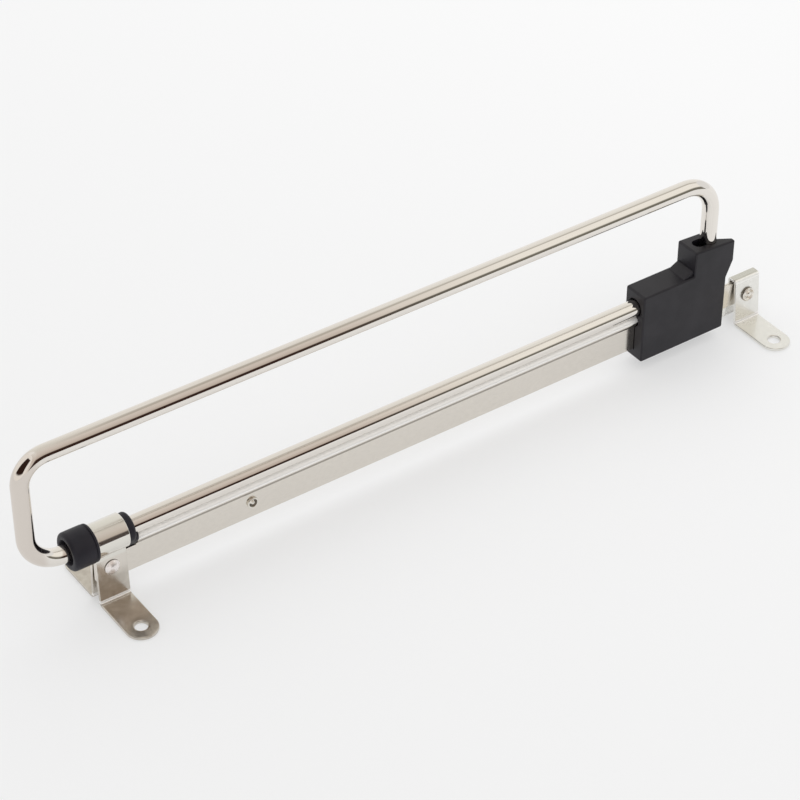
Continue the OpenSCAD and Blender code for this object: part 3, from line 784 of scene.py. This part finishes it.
# Painted shade: the rod's front upright is painted darker than the rest of the loop.
front_upright_shade = (1, loop_front - rod_r, loop_front + 2.2 * rod_r, rod_r, (0.71, 0.655, 0.60), 0.07, 1.0)
rod.data.materials.append(plated("drawn_rod", (0.83, 0.795, 0.745), (0.79, 0.75, 0.70), 0.06, 0.02,
                                 (30, 2500, 1), 0.05, zones=[front_upright_shade], follows="UV"))
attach(rod, "slider")
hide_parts("hanging_rod")


# The block: one black moulding. Its body is slotted for the rail and bored for the rod,
# and its tower holds the rod's upright in a keyhole. A small ramp props the tower.
def fillets(corners, radii, inset, count=6):
    """A closed outline, drawn in by an inset: at each corner an arc touches both sides.
    The arc's middle stays, and its radius shrinks by the inset, or grows by it where the
    outline turns the other way."""
    corners = np.asarray(corners)
    before, after = np.roll(corners, 1, 0), np.roll(corners, -1, 0)
    into = (corners - before) / np.linalg.norm(corners - before, axis=1)[:, None]
    away = (after - corners) / np.linalg.norm(after - corners, axis=1)[:, None]
    turn = np.arctan2(into[:, 0] * away[:, 1] - into[:, 1] * away[:, 0], (into * away).sum(1))
    hand = np.sign(turn)
    normal = np.stack([-into[:, 1], into[:, 0]], -1) * hand[:, None]
    middle = corners - into * (radii * np.tan(np.abs(turn) / 2))[:, None] + normal * radii[:, None]
    start = np.arctan2(-normal[:, 1], -normal[:, 0])
    a = start[:, None] + turn[:, None] * np.linspace(0, 1, count)
    radius = radii - hand * inset
    return (middle[:, None] + radius[:, None, None] * np.stack([np.cos(a), np.sin(a)], -1)).reshape(-1, 2)


def rounded_slab(name, corners, radii, low, high, edge):
    """An outline in Y and Z carried across X, with all its edges rounded: near each face
    the outline draws in along a quarter circle."""
    turn = np.radians(np.linspace(90, 0, 6))
    inset = edge * (1 - np.cos(turn))
    offset = edge * (1 - np.sin(turn))
    x = np.concatenate([high - offset, (low + offset)[::-1]])
    rings = np.stack([fillets(corners, radii, e) for e in (*inset, *inset[::-1])])
    points = np.concatenate([np.broadcast_to(x[:, None, None], (*rings.shape[:2], 1)), rings], -1)
    count = rings.shape[1]
    caps = [np.arange(count), np.arange(count) + (len(x) - 1) * count]
    return new_object(name, points, [*quads(len(x), count, True), *caps])


block_low, block_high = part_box("slider_block")
block_w = block_high.x
block_front, tower_rear = block_low.y, block_high.y
block_bottom, tower_top = block_low.z, block_high.z
roof, tail, tower_len, tower_fall = 3.9 * mm, 2.8 * mm, 19.2 * mm, 1.2 * mm
block_rear = loop_rear + tail
block_top = rod_z + rod_r + roof
tower_front = tower_rear - tower_len
hang_up, hang_slope = 0.5 * mm, 2.3
hang_z = block_top + hang_up
hang_foot = hang_z - hang_slope * (tower_rear - block_rear)
side_corners = [(block_front, block_bottom), (block_rear, block_bottom), (block_rear, hang_foot),
                (tower_rear, hang_z), (tower_rear, tower_top - tower_fall), (tower_front, tower_top),
                (tower_front, block_top), (block_front, block_top)]
side_radii = np.array([0.8, 0.8, 1.2, 0.9, 0.8, 0.8, 0.5, 0.9]) * mm
block = rounded_slab("block", side_corners, side_radii, -block_w, block_w, 0.7 * mm)
tidy(block)

ramp_len, ramp_h, ramp_in = 4.6 * mm, 2.3 * mm, 0.9 * mm
ramp_corners = [(tower_front - ramp_len, block_top - mm), (tower_front + mm, block_top - mm),
                (tower_front + mm, block_top + ramp_h), (tower_front - 0.3 * mm, block_top + ramp_h),
                (tower_front - ramp_len, block_top + 0.1 * mm)]
ramp_radii = np.array([0.1, 0.1, 0.1, 0.4, 0.1]) * mm
ramp = rounded_slab("block_ramp", ramp_corners, ramp_radii, ramp_in - block_w, block_w - ramp_in, 0.25 * mm)
tidy(ramp)

past = 5 * mm
socket_r = rod_r + 0.1 * mm
socket_len = socket_end - block_front + 0.2 * mm
flare, flare_len = 0.6 * mm, 0.9 * mm
points, faces = on_rod_axis([[0, -past], [socket_r + flare, -past], [socket_r + flare, 0],
                             [socket_r, flare_len], [socket_r, socket_len], [0, socket_len]],
                            block_front, rod_z, 64)
cut(block, new_object("rod_bore", points, faces))
channel_gap, slot_gap = 0.4 * mm, 0.25 * mm
channel_r = bead_r + channel_gap
slot_x = leaf_x + slot_gap
slot_low = rail_foot - 2 * slot_gap
slot_turn = np.degrees(np.arcsin(slot_x / channel_r))
channel = np.concatenate([[[-slot_x, slot_low], [slot_x, slot_low]],
                          arc((0, bead_z), channel_r, -90 + slot_turn, 270 - slot_turn, 40)])
cut(block, prism("channel", channel, block_front - past, block_rear + past, 1))
upright_r = socket_r + 0.05 * mm
points, faces = lathe([[0, post_end], [upright_r, post_end], [upright_r, tower_top + past],
                       [0, tower_top + past]])
cut(block, new_object("upright_bore", points + np.array([0, rear_line_y, 0]), faces))
key_r, key_ahead = 2.4 * mm, 4.8 * mm
key_y = rear_line_y - key_ahead
keyhole = np.concatenate([arc((0, key_y), key_r, 180, 360, 20),
                          [[key_r, rear_line_y], [-key_r, rear_line_y]]])
cut(block, prism("keyhole", keyhole, block_top + ramp_h, tower_top + past, 2))
behind = loop_rear + 0.1 * mm
fin_t, fin_root = 1.4 * mm, 1.2 * mm
fin_x = block_w - fin_t
fin_plan = [(-block_w - mm, behind), (fin_root, behind), (fin_x, tower_rear + 0.1 * mm),
            (fin_x, tower_rear + mm), (-block_w - mm, tower_rear + mm)]
cut(block, prism("beside_fin", fin_plan, block_top, tower_top + past, 2))
soften(block, 0.15 * mm, 2, 40)
block_plastic = plastic("block_moulding", (0.019, 0.017, 0.022), (0.010, 0.009, 0.013), 0.44, 0.33)
for piece in (block, ramp):
    piece.data.materials.append(block_plastic)
    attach(piece, "slider")
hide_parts("slider_block")
